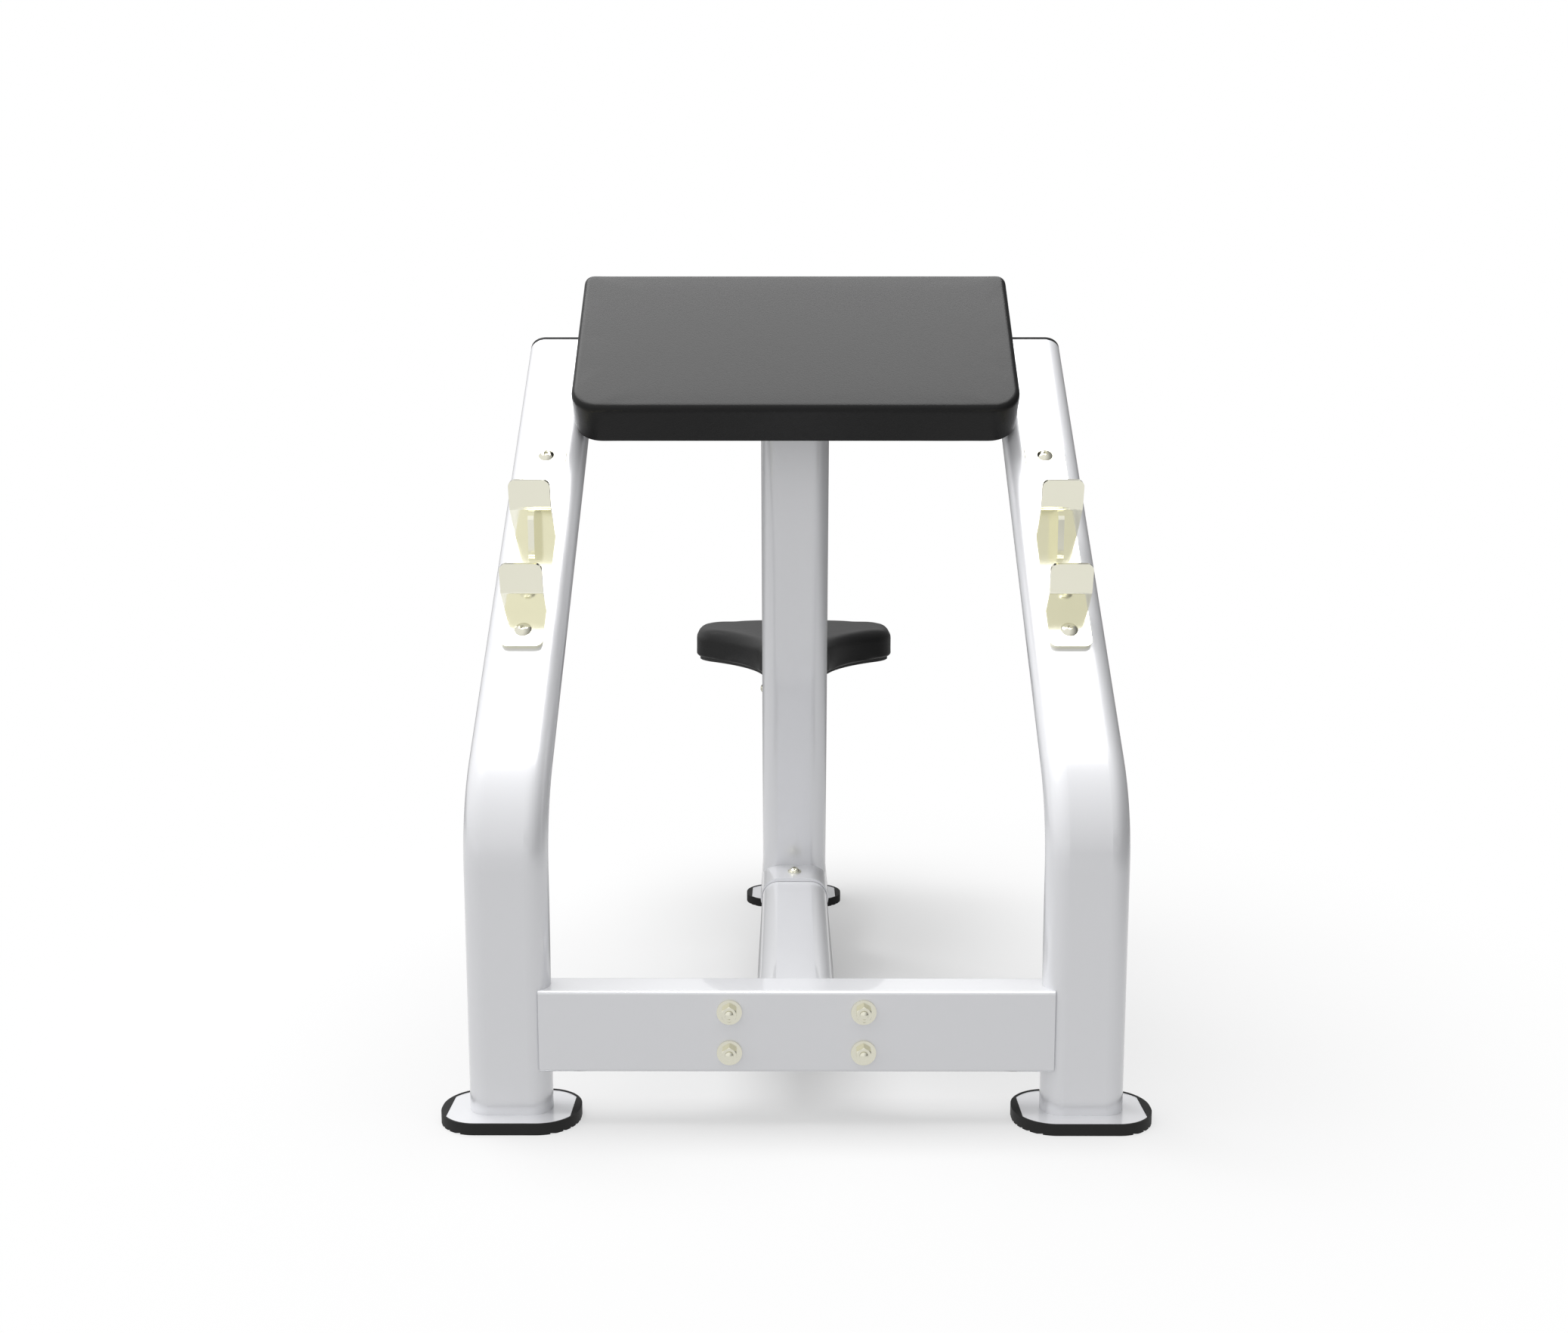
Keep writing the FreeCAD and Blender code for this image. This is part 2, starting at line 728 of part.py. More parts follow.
def column_bush():
    """The guide in the column's mouth, with a flange on top."""
    gap = 2 * (tube_wall + bush_clearance)
    sleeve = prism(flat_oval(tube_width - gap, tube_depth - gap), bush_length)
    flange = moved(prism(flat_oval(tube_width, tube_depth), bush_flange), V(0, 0, bush_length))
    slide = 2 * slide_clearance
    opening = prism(flat_oval(seat_tube_width + slide, seat_tube_depth + slide), bush_length + bush_flange)
    bush = moved(sleeve.fuse(flange).cut(opening), V(0, column_y, column_top - bush_length))
    return bush.cut(bush_screw_hole())


def bush_screw():
    """The screw on the column's left side that holds the bush."""
    screw = button_screw(
        bush_screw_radius, bush_screw_length, bush_screw_head_radius, bush_screw_head_height
    )
    return aimed(screw, V(-tube_half_width, column_y, column_top - bush_screw_drop), -X_AXIS)


def seat_tube():
    """The sliding tube, with a row of lock holes in its rear wall."""
    body = tube(seat_tube_width, seat_tube_depth, seat_tube_wall, bracket_base - tube_bottom)
    body = moved(body, V(0, column_y, tube_bottom))
    start = column_y + seat_tube_depth / 2 - seat_tube_wall - overrun
    radius = pin_radius + hole_clearance
    length = seat_tube_wall + 2 * overrun
    heights = [pin_height - k * hole_spacing for k in range(hole_count)]
    return body.cut([bore(radius, V(0, start, height), Y_AXIS, length) for height in heights])


def seat_tube_plug():
    """The plug in the seat tube's lower end, whose flange guides it in the column."""
    gap = 2 * (seat_tube_wall + bush_clearance)
    stem = prism(flat_oval(seat_tube_width - gap, seat_tube_depth - gap), plug_stem)
    room = 2 * (tube_wall + slide_clearance)
    flange = moved(prism(flat_oval(tube_width - room, tube_depth - room), plug_flange), V(0, 0, -plug_flange))
    return moved(stem.fuse(flange), V(0, column_y, tube_bottom))


def seat_screw_points(z):
    """The seat's screw places at a height."""
    return [
        V(x * seat_pattern_width / 2, bracket_y + y * seat_pattern_length / 2, z)
        for x in (-1, 1)
        for y in (-1, 1)
    ]


def seat_screw_holes():
    """Cutters for the seat's screws, from under the bracket into the board."""
    length = bracket_thickness + seat_screw_bite + 2 * overrun
    radius = seat_screw_radius + bolt_clearance
    return [bore(radius, point, Z_AXIS, length) for point in seat_screw_points(bracket_base - overrun)]


def seat_bracket():
    """The plate on top of the seat tube."""
    plate = prism(rounded_rectangle(bracket_width, bracket_length, bracket_corner), bracket_thickness)
    return moved(plate, V(0, bracket_y, bracket_base)).cut(seat_screw_holes())


def seat_outline(inset, height):
    """The seat's plan: a narrow nose in front, hollow sides and a broad back, all of tangent arcs."""
    nose = V(0, seat_nose_y + seat_nose_radius, 0)
    corner = V(seat_width / 2 - seat_front_corner, column_y + seat_front_corner_setback, 0)
    across = corner - nose
    to_nose = seat_waist_radius + seat_nose_radius
    to_corner = seat_waist_radius + seat_front_corner
    along = (across.Length**2 + to_nose**2 - to_corner**2) / (2 * across.Length)
    aside = math.sqrt(to_nose**2 - along**2)
    step = V(across).normalize()
    waist = nose + step * along + V(step.y, -step.x, 0) * aside
    back = V(0, seat_back_y - seat_back_radius, 0)
    rear_x = seat_width / 2 - seat_back_corner
    rear = V(rear_x, back.y + math.sqrt((seat_back_radius - seat_back_corner) ** 2 - rear_x**2), 0)
    nose_to_waist = (waist - nose).normalize()
    corner_to_waist = (waist - corner).normalize()
    back_to_rear = (rear - back).normalize()
    arcs = [
        (nose, seat_nose_radius - inset, -Y_AXIS, nose_to_waist),
        (waist, seat_waist_radius + inset, -nose_to_waist, -corner_to_waist),
        (corner, seat_front_corner - inset, corner_to_waist, X_AXIS),
        (rear, seat_back_corner - inset, X_AXIS, back_to_rear),
        (back, seat_back_radius - inset, back_to_rear, Y_AXIS),
    ]
    right = []
    for centre, radius, first, last in arcs:
        middle = (first + last).normalize()
        right.append([centre + turn * radius + V(0, 0, height) for turn in (first, middle, last)])
    left = [[V(-point.x, point.y, point.z) for point in reversed(arc)] for arc in reversed(right)]
    return joined(right + left)


def seat_board():
    """The board under the seat's cushion, drilled for the seat's screws."""
    board = prism(seat_outline(seat_board_margin, 0), seat_board_thickness)
    return moved(board, V(0, 0, seat_board_base)).cut(seat_screw_holes())


def seat_cushion():
    """The upholstered seat, with a pocket for its board."""
    levels = cushion_levels(seat_thickness, seat_tuck, seat_edge, seat_crown, seat_crown_inset)
    depth = seat_board_thickness - seat_board_proud
    pocket = prism(seat_outline(seat_board_margin - seat_board_clearance, 0), depth)
    return moved(layered(seat_outline, levels).cut(pocket), V(0, 0, seat_base))


def seat_screws():
    """Screws from under the bracket into the seat's board."""
    screw = button_screw(
        seat_screw_radius,
        bracket_thickness + seat_screw_bite,
        seat_screw_head_radius,
        seat_screw_head_height,
    )
    return Part.makeCompound([aimed(screw, point, -Z_AXIS) for point in seat_screw_points(bracket_base)])


def behind_column(shape, y):
    """A shape drawn along +Z, set on the lock pin's axis and pointing to the rear."""
    return moved(shape, V(0, y, pin_height), ALONG_Y)


def pin_housing():
    """The barrel behind the column, with a floor that guides the pin."""
    barrel = Part.makeCylinder(housing_radius, housing_length)
    guide = Part.makeCylinder(pin_radius + pin_fit, housing_length)
    room = bore(housing_bore_radius, V(0, 0, housing_floor), Z_AXIS, housing_length)
    return behind_column(barrel.cut([guide, room]), column_back)


def pin_housing_cap():
    """The cap that closes the barrel round the pin."""
    return behind_column(ring(housing_radius, pin_radius + pin_fit, housing_cap), housing_end)


def pull_pin():
    """The lock pin, with a collar for its spring to push on."""
    shaft = Part.makeCylinder(pin_radius, knob_start + knob_grip - pin_tip_y)
    collar_y = column_back + housing_floor + spring_clearance - pin_tip_y
    collar = bore(pin_collar_radius, V(0, 0, collar_y), Z_AXIS, pin_collar)
    return behind_column(shaft.fuse(collar), pin_tip_y)


def pin_spring():
    """The spring's space round the pin, between the collar and the cap."""
    start = column_back + housing_floor + pin_collar + 2 * spring_clearance
    length = housing_end - spring_clearance - start
    outer = housing_bore_radius - spring_clearance
    return behind_column(ring(outer, pin_radius + spring_clearance, length), start)


def pull_knob():
    """A round knob with a neck, on the pin's outer end."""
    neck = Part.makeCylinder(knob_neck_radius, knob_neck)
    ball = bore(knob_radius, V(0, 0, knob_neck), Z_AXIS, knob_length - knob_neck)
    rims = [edge for edge in ball.Edges if edge.Closed]
    ball = ball.makeFillet(knob_edge, rims)
    hole = Part.makeCylinder(pin_radius + pin_fit, knob_grip)
    return behind_column(neck.fuse(ball).cut(hole), knob_start)


def export(name, shape):
    """Writes one piece, with the bench's origin under the middle of its depth."""
    moved(shape, V(0, -origin_y, 0)).exportStep(os.path.join("parts", name + ".step"))


os.makedirs("parts", exist_ok=True)

for name, side in SIDES:
    aside = V(side * upright_x, 0, 0)
    export(name + "_upright", moved(upright(), aside))
    export(name + "_end_cap", moved(end_cap(), aside))
    export(name + "_catch_plate", moved(catch_plate(), aside))
    export(name + "_upper_hook", moved(hook(upper_hook_rise, upper_hook_reach), aside))
    export(name + "_lower_hook", moved(hook(lower_hook_rise, lower_hook_reach), aside))
    export(name + "_hook_gusset", moved(hook_gusset(), aside))
    export(name + "_catch_bolts", moved(catch_bolts(), aside))

feet = {"left": V(-upright_x, 0, 0), "right": V(upright_x, 0, 0), "rear": V(0, column_y, 0)}
for name, place in feet.items():
    export(name + "_foot_plate", moved(foot_plate(), place))
    export(name + "_foot_boot", moved(foot_boot(), place))

pieces = (
    front_crossbeam, spine_flange, spine_bolts, spine_washers, spine_nuts, spine_tube, rear_base_tube,
    sleeve_washer, sleeve_screw, top_cross_tube, pad_post, pad_board, pad_cushion, pad_bolts, seat_column,
    column_bush, bush_screw, seat_tube, seat_tube_plug, seat_bracket, seat_board, seat_cushion,
    seat_screws, pin_housing, pin_housing_cap, pull_pin, pin_spring, pull_knob,
)
for piece in pieces:
    export(piece.__name__, piece())
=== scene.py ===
# %% [markdown]
# # A preacher curl bench
#
# The CAD model gives every rigid piece of the bench in its right place. This lesson dresses it. A camera
# and a pale stage come first, then one finish for each material. The two cushions are soft, so they are made
# here, and the spring inside the seat lock comes last.

# %% Load the fixed frame
import math

import bpy
import numpy as np
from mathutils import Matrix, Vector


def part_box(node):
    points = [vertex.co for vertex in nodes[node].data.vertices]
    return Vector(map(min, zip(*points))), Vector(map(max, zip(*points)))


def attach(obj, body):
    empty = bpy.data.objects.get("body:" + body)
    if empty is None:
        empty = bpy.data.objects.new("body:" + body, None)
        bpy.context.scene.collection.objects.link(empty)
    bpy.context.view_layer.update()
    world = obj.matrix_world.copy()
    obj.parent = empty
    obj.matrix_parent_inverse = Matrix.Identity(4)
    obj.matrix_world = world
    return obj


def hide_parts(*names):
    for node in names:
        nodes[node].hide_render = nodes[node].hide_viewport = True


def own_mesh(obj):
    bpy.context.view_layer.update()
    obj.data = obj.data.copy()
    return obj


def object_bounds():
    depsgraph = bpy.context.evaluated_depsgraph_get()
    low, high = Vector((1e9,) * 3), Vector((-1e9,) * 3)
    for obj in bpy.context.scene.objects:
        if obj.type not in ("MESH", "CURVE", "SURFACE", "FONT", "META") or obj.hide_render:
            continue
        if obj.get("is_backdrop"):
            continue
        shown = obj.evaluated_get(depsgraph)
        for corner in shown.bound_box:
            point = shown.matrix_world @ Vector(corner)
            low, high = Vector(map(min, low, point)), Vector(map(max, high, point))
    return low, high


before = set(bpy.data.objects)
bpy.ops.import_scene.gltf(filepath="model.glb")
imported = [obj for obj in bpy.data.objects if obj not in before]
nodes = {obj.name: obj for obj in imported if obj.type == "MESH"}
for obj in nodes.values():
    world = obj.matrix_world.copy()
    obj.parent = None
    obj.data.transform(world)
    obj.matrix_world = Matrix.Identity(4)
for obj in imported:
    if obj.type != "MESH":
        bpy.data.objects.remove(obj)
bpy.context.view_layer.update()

# %% [markdown]
# ## Camera
#
# The photograph looks at the bench squarely from its front, a little from above. A camera in Blender looks
# along its own -Z, so it is tipped up by a right angle and then down again by the pitch. The focal length
# and the place were worked out from straight edges of the bench.

# %% The photograph's camera
CAMERA_PLACE = (-0.0103, -2.2611, 0.7956)
CAMERA_PITCH = math.radians(7.89)
CAMERA_YAW = 0.0026
CAMERA_LENS = 35.18
SENSOR_WIDTH = 36.0

scene = bpy.context.scene
camera = bpy.data.objects.new("camera", bpy.data.cameras.new("camera"))
scene.collection.objects.link(camera)
camera.location = CAMERA_PLACE
camera.rotation_euler = (math.pi / 2 - CAMERA_PITCH, 0, CAMERA_YAW)
camera.data.lens = CAMERA_LENS
camera.data.sensor_width = SENSOR_WIDTH
scene.camera = camera
scene.view_settings.view_transform = "Standard"
print("camera at", CAMERA_PLACE, "with a lens of", CAMERA_LENS, "mm")

# %% [markdown]
# ## Writing shaders as sums
#
# A finish is a small graph of nodes. Joining them by hand takes many lines, so one class wraps an output
# socket and lets Python's own operators add Math nodes. One method adds any other node: its settings first,
# then the values or links of its inputs.


# %% A socket that can be added and multiplied
class Wire:
    """An output socket; arithmetic on it adds Math nodes to the same graph."""

    def __init__(self, graph, socket):
        self.graph = graph
        self.socket = socket

    def math(self, operation, first, second):
        """A Math node on two values or wires."""
        return self.graph.node("Math", {"operation": operation}, {0: first, 1: second})

    def __add__(self, other):
        return self.math("ADD", self, other)

    def __radd__(self, other):
        return self.math("ADD", other, self)

    def __sub__(self, other):
        return self.math("SUBTRACT", self, other)

    def __rsub__(self, other):
        return self.math("SUBTRACT", other, self)

    def __mul__(self, other):
        return self.math("MULTIPLY", self, other)

    def __rmul__(self, other):
        return self.math("MULTIPLY", other, self)


class Graph:
    """The node tree of a material or of the world."""

    def __init__(self, owner):
        owner.use_nodes = True
        self.tree = owner.node_tree
        self.tree.nodes.clear()

    def node(self, kind, settings=None, inputs=None, output=0):
        """Adds a node, sets it up, fills its inputs and returns one of its outputs."""
        made = self.tree.nodes.new("ShaderNode" + kind)
        for name, value in (settings or {}).items():
            setattr(made, name, value)
        for name, value in (inputs or {}).items():
            if isinstance(value, Wire):
                self.tree.links.new(value.socket, made.inputs[name])
            else:
                made.inputs[name].default_value = value
        return Wire(self, made.outputs[output])

    def smooth_step(self, value, low, high):
        """0 below low, 1 above high and a soft run between them."""
        settings = {"interpolation_type": "SMOOTHSTEP"}
        return self.node("MapRange", settings, {"Value": value, "From Min": low, "From Max": high})

    def mixed(self, share, first, second):
        """A colour between two, by a share from 0 to 1."""
        return self.node("Mix", {"data_type": "RGBA"}, {0: share, 6: first, 7: second}, output=2)

    def show(self, shader, kind="OutputMaterial"):
        """Ends the graph with its output node."""
        made = self.tree.nodes.new("ShaderNode" + kind)
        self.tree.links.new(shader.socket, made.inputs["Surface"])

    def rays(self):
        """Two switches that are 1 for the rays from the camera and for the rays off a gloss."""
        return [self.node("LightPath", output=name) for name in ("Is Camera Ray", "Is Glossy Ray")]


print("shader helpers ready")

# %% [markdown]
# ## Stage
#
# The bench stands on a pale floor that fades into white. The world answers three kinds of ray. Rays from
# the camera see plain white. Rays off a gloss see a pale room that is darker on the right, with a white
# backdrop hung behind the bench that brightens the flat tops of its tubes. Rays that only light the bench
# see a dimmer room, so the white background adds no light to the paint.
#
# The floor answers in the same way. The camera sees it fade to white away from the bench, so no horizon
# shows. Rays off a gloss see it glow, less far to the right and far behind, and less in the shade under the
# seat, which keeps the edges of the low tubes dark.

# %% World
AMBIENT = 0.43
AMBIENT_SWING = 0.62
AMBIENT_SIDE = (-0.78, -0.90, 0.30)
MIRRORED = 0.54
MIRRORED_SWING = 0.6
MIRRORED_SIDE = (-0.80, -0.58, 0.50)
MIRRORED_LEAST = 0.2
BACKDROP = 0.88
BACKDROP_START, BACKDROP_END = 0.80, 0.90
BACKDROP_FOOT, BACKDROP_TOP = 0.25, 0.33
WHITE = (1, 1, 1, 1)

world = bpy.data.worlds.new("studio")
scene.world = world
graph = Graph(world)
bearing = graph.node("TexCoord", output="Generated")


def sided(level, swing, side, least=0.0):
    """level + swing * (bearing . side), from a least value to 1: brighter towards one side of the room."""
    facing = graph.node("VectorMath", {"operation": "DOT_PRODUCT"}, {0: bearing, 1: side}, output="Value")
    return graph.node("Clamp", inputs={"Value": level + swing * facing, "Min": least})


seen, gloss = graph.rays()
lit = sided(AMBIENT, AMBIENT_SWING, AMBIENT_SIDE)
mirrored = sided(MIRRORED, MIRRORED_SWING, MIRRORED_SIDE, MIRRORED_LEAST)
backward = graph.node("SeparateXYZ", inputs={"Vector": bearing}, output="Y")
upward = graph.node("SeparateXYZ", inputs={"Vector": bearing}, output="Z")
behind = graph.smooth_step(backward, BACKDROP_START, BACKDROP_END)
raised = graph.smooth_step(upward, BACKDROP_FOOT, BACKDROP_TOP)
mirrored = mirrored + behind * raised * (BACKDROP - mirrored)
level = lit + seen * (1 - lit) + gloss * (mirrored - lit)
graph.show(graph.node("Background", inputs={"Color": WHITE, "Strength": level}), "OutputWorld")
print("world shader of", len(world.node_tree.nodes), "nodes")

# %% Floor
FLOOR_RADIUS = 14.0
FLOOR_SIDES = 96
FLOOR_COLOUR = (0.58, 0.58, 0.581, 1)
FLOOR_BOUNCE = (0.28, 0.28, 0.28, 1)
FLOOR_MIRRORED = (0.84, 0.84, 0.84, 1)
FLOOR_MIRRORED_DIM = (0.28, 0.28, 0.28, 1)
FAR_RIGHT_START, FAR_RIGHT_END = 0.8, 2.6
FAR_BACK_START, FAR_BACK_END = 0.5, 1.6
SHADE_CENTRE = (0.0, 0.3, 0.0)
SHADE_START, SHADE_END = 0.2, 0.45
FADE_START, FADE_END = -0.2, 1.3
FADE_LEAST = 0.1

turn = np.linspace(0, 2 * np.pi, FLOOR_SIDES, endpoint=False)
rim = np.column_stack([FLOOR_RADIUS * np.cos(turn), FLOOR_RADIUS * np.sin(turn), np.zeros_like(turn)])
mesh = bpy.data.meshes.new("floor")
mesh.from_pydata(rim, [], [list(range(len(rim)))])
floor = bpy.data.objects.new("floor", mesh)
scene.collection.objects.link(floor)
floor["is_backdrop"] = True

material = bpy.data.materials.new("pale_floor")
graph = Graph(material)
place = graph.node("TexCoord", output="Object")
reach = graph.node("VectorMath", {"operation": "LENGTH"}, {0: place}, output="Value")
seen, gloss = graph.rays()
fade = FADE_LEAST + (1 - FADE_LEAST) * graph.smooth_step(reach, FADE_START, FADE_END)
cloth = graph.node("BsdfDiffuse", inputs={"Color": graph.mixed(seen, FLOOR_BOUNCE, FLOOR_COLOUR)})
aside = graph.node("SeparateXYZ", inputs={"Vector": place}, output="X")
beyond = graph.node("SeparateXYZ", inputs={"Vector": place}, output="Y")
right = graph.smooth_step(aside, FAR_RIGHT_START, FAR_RIGHT_END)
back = graph.smooth_step(beyond, FAR_BACK_START, FAR_BACK_END)
away = graph.node("VectorMath", {"operation": "DISTANCE"}, {0: place, 1: SHADE_CENTRE}, output="Value")
shade = 1 - graph.smooth_step(away, SHADE_START, SHADE_END)
glossed = graph.mixed(right + back + shade, FLOOR_MIRRORED, FLOOR_MIRRORED_DIM)
glow = graph.node("Emission", inputs={"Color": graph.mixed(gloss, WHITE, glossed), "Strength": 1.0})
graph.show(graph.node("MixShader", inputs={0: fade * seen + gloss, 1: cloth, 2: glow}))
mesh.materials.append(material)
print("floor of", FLOOR_RADIUS, "m radius")

# %% [markdown]
# ## Light
#
# One wide softbox hangs over the bench, a little to the left and to the back. The leaning faces of the
# uprights mirror it, which is why they are the brightest part of the photograph, and so does the flat top
# of the arm pad. A smaller lamp on the left throws the shadow on the floor; reflections do not see it.


# %% Softboxes
def softbox(name, place, aim, size, power):
    """A rectangular area lamp at a place that faces a point."""
    lamp = bpy.data.objects.new(name, bpy.data.lights.new(name, "AREA"))
    scene.collection.objects.link(lamp)
    lamp.data.shape = "RECTANGLE"
    lamp.data.size, lamp.data.size_y = size
    lamp.data.energy = power
    lamp.location = place
    way = np.subtract(aim, place)
    lamp.rotation_euler = (math.acos(-way[2] / np.linalg.norm(way)), 0, math.atan2(-way[0], way[1]))
    return lamp


softbox("overhead", place=(-0.6, 0.2, 3.3), aim=(-0.6, 0.2, 0.0), size=(3.7, 2.6), power=155.0)
key = softbox("key", place=(-1.2, 0.8, 3.2), aim=(0.0, 0.0, 0.5), size=(0.9, 0.9), power=20.0)
key.visible_glossy = False

# %% [markdown]
# ## Finishes
#
# Each finish starts from the shader's plain values and adds what the real one shows close up: metal flakes
# in the paint, a fine grain pressed into the vinyl, faint polishing marks on the plated hooks. The patterns
# read Object coordinates. Every piece sits at the origin with its place in its mesh, so a pattern keeps its
# size.

# %% Paint of the frame
PAINT = (0.769, 0.774, 0.797, 1)
PAINT_FLAKE = (0.775, 0.78, 0.802, 1)
FLAKES_PER_METRE = 1600.0
PEEL_PER_METRE = 140.0
PEEL_STRENGTH, PEEL_DEPTH = 0.008, 0.001
PAINT_METALLIC, PAINT_ROUGHNESS = 0.36, 0.275
COAT_WEIGHT, COAT_ROUGHNESS = 0.8, 0.03


def frame_paint():
    """Gloss white-silver paint: tiny flakes of two tones under a clear coat with a faint orange peel."""
    made = bpy.data.materials.new("frame_paint_finish")
    graph = Graph(made)
    place = graph.node("TexCoord", output="Object")
    cells = {"Vector": place, "Scale": FLAKES_PER_METRE}
    flake = graph.node("TexVoronoi", inputs=cells, output="Color")
    tone = graph.node("SeparateColor", inputs={"Color": flake}, output="Red")
    peel = graph.node("TexNoise", inputs={"Vector": place, "Scale": PEEL_PER_METRE, "Detail": 2.0})
    bump = {"Height": peel, "Strength": PEEL_STRENGTH, "Distance": PEEL_DEPTH}
    shader = {
        "Base Color": graph.mixed(tone, PAINT, PAINT_FLAKE),
        "Metallic": PAINT_METALLIC,
        "Roughness": PAINT_ROUGHNESS,
        "Coat Weight": COAT_WEIGHT,
        "Coat Roughness": COAT_ROUGHNESS,
        "Normal": graph.node("Bump", inputs=bump),
    }
    graph.show(graph.node("BsdfPrincipled", inputs=shader))
    return made


# %% Bright plating of the hooks, and the plated fasteners
NICKEL = ((0.91, 0.895, 0.755, 1), (0.89, 0.875, 0.735, 1))
# The fasteners have the hooks' plating made darker: painted shade for the dimmer room that the washers and
# nuts mirror.
FASTENER_PAINTED_SHADE = ((0.79, 0.775, 0.655, 1), (0.75, 0.735, 0.62, 1))
PATCHES_PER_METRE = 26.0
MARKS_PER_METRE = (900.0, 60.0, 60.0)
MARK_DEPTH = 0.0002
POLISH_SWING = 0.05


def plated_steel(name, colours, roughness, marks):
    """Plating with a warm tint, whose polish varies in broad patches and in fine marks."""
    made = bpy.data.materials.new(name)
    graph = Graph(made)
    place = graph.node("TexCoord", output="Object")
    patch = graph.node("TexNoise", inputs={"Vector": place, "Scale": PATCHES_PER_METRE, "Detail": 3.0})
    along = graph.node("Mapping", inputs={"Vector": place, "Scale": MARKS_PER_METRE})
    scratch = graph.node("TexNoise", inputs={"Vector": along, "Scale": 1.0, "Detail": 2.0})
    shader = {
        "Base Color": graph.mixed(patch, *colours),
        "Metallic": 1.0,
        "Roughness": roughness + POLISH_SWING * patch,
        "Normal": graph.node("Bump", inputs={"Height": scratch, "Strength": marks, "Distance": MARK_DEPTH}),
    }
    graph.show(graph.node("BsdfPrincipled", inputs=shader))
    return made


# %% Vinyl of the cushions
VINYL = (0.005, 0.005, 0.0052, 1)
VINYL_HIGH = (0.008, 0.008, 0.0082, 1)
GRAIN_PER_METRE, GRAIN_SOFTNESS = 620.0, 0.6
GRAIN_STRENGTH, GRAIN_DEPTH = 0.22, 0.0006
WANDER_PER_METRE, WANDER_REACH = 300.0, (0.002, 0.002, 0.002)
PORES_PER_METRE, PORE_SHARE = 2400.0, 0.15
VINYL_ROUGHNESS, VALLEY_ROUGHNESS = 0.28, 0.1
VINYL_GLOSS = 0.21


def pad_vinyl():
    """Black vinyl with a pressed leather grain: small cells that wander, with soft valleys between them."""
    made = bpy.data.materials.new("pad_vinyl")
    graph = Graph(made)
    place = graph.node("TexCoord", output="Object")
    noise = {"Vector": place, "Scale": WANDER_PER_METRE, "Detail": 2.0}
    wander = graph.node("TexNoise", inputs=noise, output="Color")
    bent = graph.node("VectorMath", {"operation": "MULTIPLY_ADD"}, {0: wander, 1: WANDER_REACH, 2: place})
    cells = {"Vector": bent, "Scale": GRAIN_PER_METRE, "Smoothness": GRAIN_SOFTNESS}
    grain = graph.node("TexVoronoi", {"feature": "SMOOTH_F1"}, cells, output="Distance")
    pores = graph.node("TexNoise", inputs={"Vector": place, "Scale": PORES_PER_METRE, "Detail": 2.0})
    height = 1 - grain + PORE_SHARE * pores
    bump = {"Height": height, "Strength": GRAIN_STRENGTH, "Distance": GRAIN_DEPTH}
    shader = {
        "Base Color": graph.mixed(grain, VINYL_HIGH, VINYL),
        "Roughness": VINYL_ROUGHNESS + VALLEY_ROUGHNESS * grain,
        "Specular IOR Level": VINYL_GLOSS,
        "Normal": graph.node("Bump", inputs=bump),
    }
    graph.show(graph.node("BsdfPrincipled", inputs=shader))
    return made


# %% Rubber, moulded plastic and the painted boards
RUBBER, RUBBER_DUST = (0.008, 0.008, 0.008, 1), (0.013, 0.013, 0.0125, 1)
PLASTIC, PLASTIC_DUST = (0.012, 0.012, 0.0125, 1), (0.018, 0.018, 0.018, 1)
BOARD, BOARD_DUST = (0.03, 0.03, 0.03, 1), (0.04, 0.04, 0.04, 1)
DUST_PER_METRE = 30.0
DUST_START, DUST_END = 0.4, 0.8
DUST_ROUGHNESS = 0.1
MOULD_DEPTH = 0.0005


def matt_black(name, colour, dusty, roughness, gloss, grain_per_metre, relief):
    """A matt black: an even colour with a little dust in broad patches and a fine moulded grain."""
    made = bpy.data.materials.new(name)
    graph = Graph(made)
    place = graph.node("TexCoord", output="Object")
    patch = graph.node("TexNoise", inputs={"Vector": place, "Scale": DUST_PER_METRE, "Detail": 4.0})
    grain = graph.node("TexNoise", inputs={"Vector": place, "Scale": grain_per_metre, "Detail": 2.0})
    shader = {
        "Base Color": graph.mixed(graph.smooth_step(patch, DUST_START, DUST_END), colour, dusty),
        "Roughness": roughness + DUST_ROUGHNESS * patch,
        "Specular IOR Level": gloss,
        "Normal": graph.node("Bump", inputs={"Height": grain, "Strength": relief, "Distance": MOULD_DEPTH}),
    }
    graph.show(graph.node("BsdfPrincipled", inputs=shader))
    return made


# %% One finish for each slot of the record
moulded = {"roughness": 0.6, "gloss": 0.35, "grain_per_metre": 1500.0, "relief": 0.15}
satin = {"roughness": 0.45, "gloss": 0.12, "grain_per_metre": 2200.0, "relief": 0.1}
brushed = {"roughness": 0.62, "gloss": 0.35, "grain_per_metre": 400.0, "relief": 0.2}
finishes = {
    "frame_paint": frame_paint(),
    "bright_steel": plated_steel("bright_plating", NICKEL, roughness=0.10, marks=0.01),
    "fastener_steel": plated_steel("fastener_plating_painted_shade", FASTENER_PAINTED_SHADE, roughness=0.14, marks=0.05),
    "upholstery": pad_vinyl(),
    "rubber": matt_black("boot_rubber", RUBBER, RUBBER_DUST, **moulded),
    "black_plastic": matt_black("moulded_plastic", PLASTIC, PLASTIC_DUST, **satin),
    "board": matt_black("painted_board", BOARD, BOARD_DUST, **brushed),
}
for node in nodes.values():
    for slot in node.material_slots:
        slot.material = finishes[slot.material.name.split(".")[0]]
print("finishes:", sorted(finishes))

